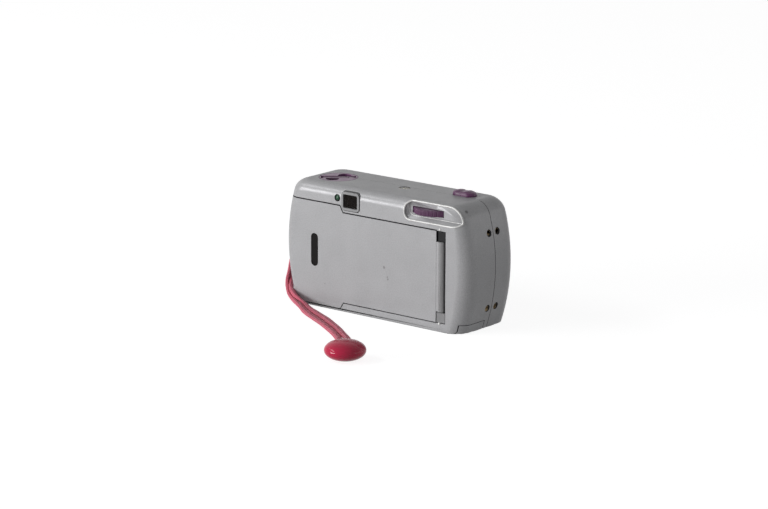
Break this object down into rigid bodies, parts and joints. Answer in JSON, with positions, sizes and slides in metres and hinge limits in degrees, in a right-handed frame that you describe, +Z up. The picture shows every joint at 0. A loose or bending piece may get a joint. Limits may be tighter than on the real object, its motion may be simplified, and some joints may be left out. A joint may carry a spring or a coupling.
{
  "type": "compact film camera",
  "caption": "Compact silver camera for 35 mm film with hinged back, thumbwheel, folding rewind crank, purple shutter button, flash, sliding lens cover and pink braided wrist strap with bead.",
  "frame": {"origin": "centre of the camera's bottom face, without the wrist strap and its lug", "axes": "+X to the right end seen from the back, +Y from the hinged back towards the lens, +Z up"},
  "size_m": [0.1246, 0.1188, 0.0653],
  "materials": {
    "silver_paint": "fine metallic silver paint on plastic, satin",
    "bright_trim": "bright satin metal trim",
    "steel": "plain steel",
    "brass": "dulled brass",
    "black_plastic": "matt black",
    "grey_plastic": "satin dark grey",
    "plum_plastic": "glossy metallic plum",
    "smoked_glass": "smoked, clear",
    "clear_glass": "clear",
    "lamp_green": "tinted lens",
    "white_plastic": "plain",
    "board": "lacquered board",
    "cell_wrap": "printed sleeve on steel",
    "capacitor_wrap": "shrink sleeve",
    "strap_braid": "flat braided cord",
    "strap_gloss": "glossy crimson"
  },
  "bodies": {
    "camera_body": {"rear_shell": "silver_paint", "front_shell": "silver_paint", "screw_left_lower_rear": "brass", "screw_left_lower_front": "brass", "screw_left_upper_rear": "brass", "screw_left_upper_front": "brass", "screw_right_lower_rear": "brass", "screw_right_lower_front": "brass", "screw_right_upper_rear": "brass", "screw_right_upper_front": "brass", "strap_lug": "steel", "chassis": "black_plastic", "hinge_pin": "steel", "hinge_block_top": "black_plastic", "hinge_block_bottom": "grey_plastic", "viewfinder_tunnel": "black_plastic", "viewfinder_window": "clear_glass", "eyepiece_bezel": "bright_trim", "eyepiece_lens": "smoked_glass", "ready_lamp": "lamp_green", "counter_window": "clear_glass", "lens_barrel": "black_plastic", "front_lens": "clear_glass", "rear_lens": "clear_glass", "shutter_plate": "black_plastic", "flash_window": "clear_glass", "flash_reflector": "steel", "flash_tube": "clear_glass", "circuit_board": "board", "flash_capacitor": "capacitor_wrap", "flash_transformer": "board", "battery": "cell_wrap", "battery_contact_top": "steel", "tripod_bush": "brass", "strap_strand_outer": "strap_braid", "strap_strand_inner": "strap_braid", "strap_bead": "strap_gloss"},
    "back_door": {"back_door": "silver_paint", "cassette_window": "smoked_glass", "pressure_plate": "steel", "pressure_spring": "steel", "hinge_barrel": "steel"},
    "door_latch": {"door_latch": "grey_plastic"},
    "winding": {"thumbwheel": "plum_plastic", "take_up_spool": "black_plastic"},
    "sprocket": {"film_sprocket": "white_plastic"},
    "counter": {"counter_dial": "white_plastic"},
    "rewind_slide": {"rewind_sleeve": "steel"},
    "rewind_knob": {"rewind_knob": "plum_plastic", "rewind_shaft": "steel", "crank_pin": "steel"},
    "rewind_crank": {"rewind_crank": "plum_plastic"},
    "crank_grip": {"crank_grip": "plum_plastic"},
    "shutter_button": {"shutter_button": "plum_plastic", "button_spring": "steel"},
    "release_lever": {"release_lever": "steel"},
    "shutter_blade": {"shutter_blade": "steel"},
    "lens_cover": {"lens_cover": "silver_paint"},
    "battery_door": {"battery_door": "silver_paint", "battery_contact_spring": "steel"}
  },
  "joints": [
    {"name": "door_hinge", "type": "hinge", "parent": "camera_body", "child": "back_door", "pos_m": [0.0415, -0.0182, 0.0274], "axis": [0, 0, 1], "range_deg": [0, 70]},
    {"name": "latch_slide", "type": "slide", "parent": "camera_body", "child": "door_latch", "axis": [0, 0, -1], "range_m": [0, 0.004], "stiffness_N_per_m": 150, "springref_m": -0.002},
    {"name": "thumbwheel_turn", "type": "hinge", "parent": "camera_body", "child": "winding", "pos_m": [0.032, -0.0095, 0.058], "axis": [0, 0, 1], "continuous": true},
    {"name": "sprocket_turn", "type": "hinge", "parent": "camera_body", "child": "sprocket", "pos_m": [0.0207, -0.0112, 0.0282], "axis": [0, 0, 1], "continuous": true},
    {"name": "counter_turn", "type": "hinge", "parent": "camera_body", "child": "counter", "pos_m": [0.01, 0, 0.0603], "axis": [0, 0, 1], "continuous": true},
    {"name": "rewind_lift", "type": "slide", "parent": "camera_body", "child": "rewind_slide", "axis": [0, 0, 1], "range_m": [0, 0.006]},
    {"name": "rewind_turn", "type": "hinge", "parent": "rewind_slide", "child": "rewind_knob", "pos_m": [-0.0362, -0.0033, 0.0614], "axis": [0, 0, 1], "continuous": true},
    {"name": "crank_fold", "type": "hinge", "parent": "rewind_knob", "child": "rewind_crank", "pos_m": [-0.04179, -0.00783, 0.0622], "axis": [0.6293, -0.7771, 0], "range_deg": [0, 110]},
    {"name": "grip_turn", "type": "hinge", "parent": "rewind_crank", "child": "crank_grip", "pos_m": [-0.03123, 0.00073, 0.0622], "axis": [0, 0, 1], "continuous": true},
    {"name": "shutter_press", "type": "slide", "parent": "camera_body", "child": "shutter_button", "axis": [0, 0, -1], "range_m": [0, 0.001], "stiffness_N_per_m": 600, "springref_m": -0.001},
    {"name": "lever_rock", "type": "hinge", "parent": "camera_body", "child": "release_lever", "pos_m": [0.02, 0.0074, 0.0496], "axis": [0, 1, 0], "range_deg": [0, 2.9]},
    {"name": "blade_swing", "type": "hinge", "parent": "camera_body", "child": "shutter_blade", "pos_m": [0.00435, 0.00585, 0.0222], "axis": [0, 1, 0], "range_deg": [0, 50], "stiffness_Nm_per_rad": 0.002, "springref_deg": -17.19},
    {"name": "cover_slide", "type": "slide", "parent": "camera_body", "child": "lens_cover", "axis": [-1, 0, 0], "range_m": [0, 0.027]},
    {"name": "battery_door_slide", "type": "slide", "parent": "camera_body", "child": "battery_door", "axis": [1, 0, 0], "range_m": [0, 0.014]}
  ],
  "couplings": [
    {"joint": "counter_turn", "follows": "sprocket_turn", "ratio": -0.02},
    {"joint": "lever_rock", "follows": "shutter_press", "rad_per_m": 49.26}
  ]
}
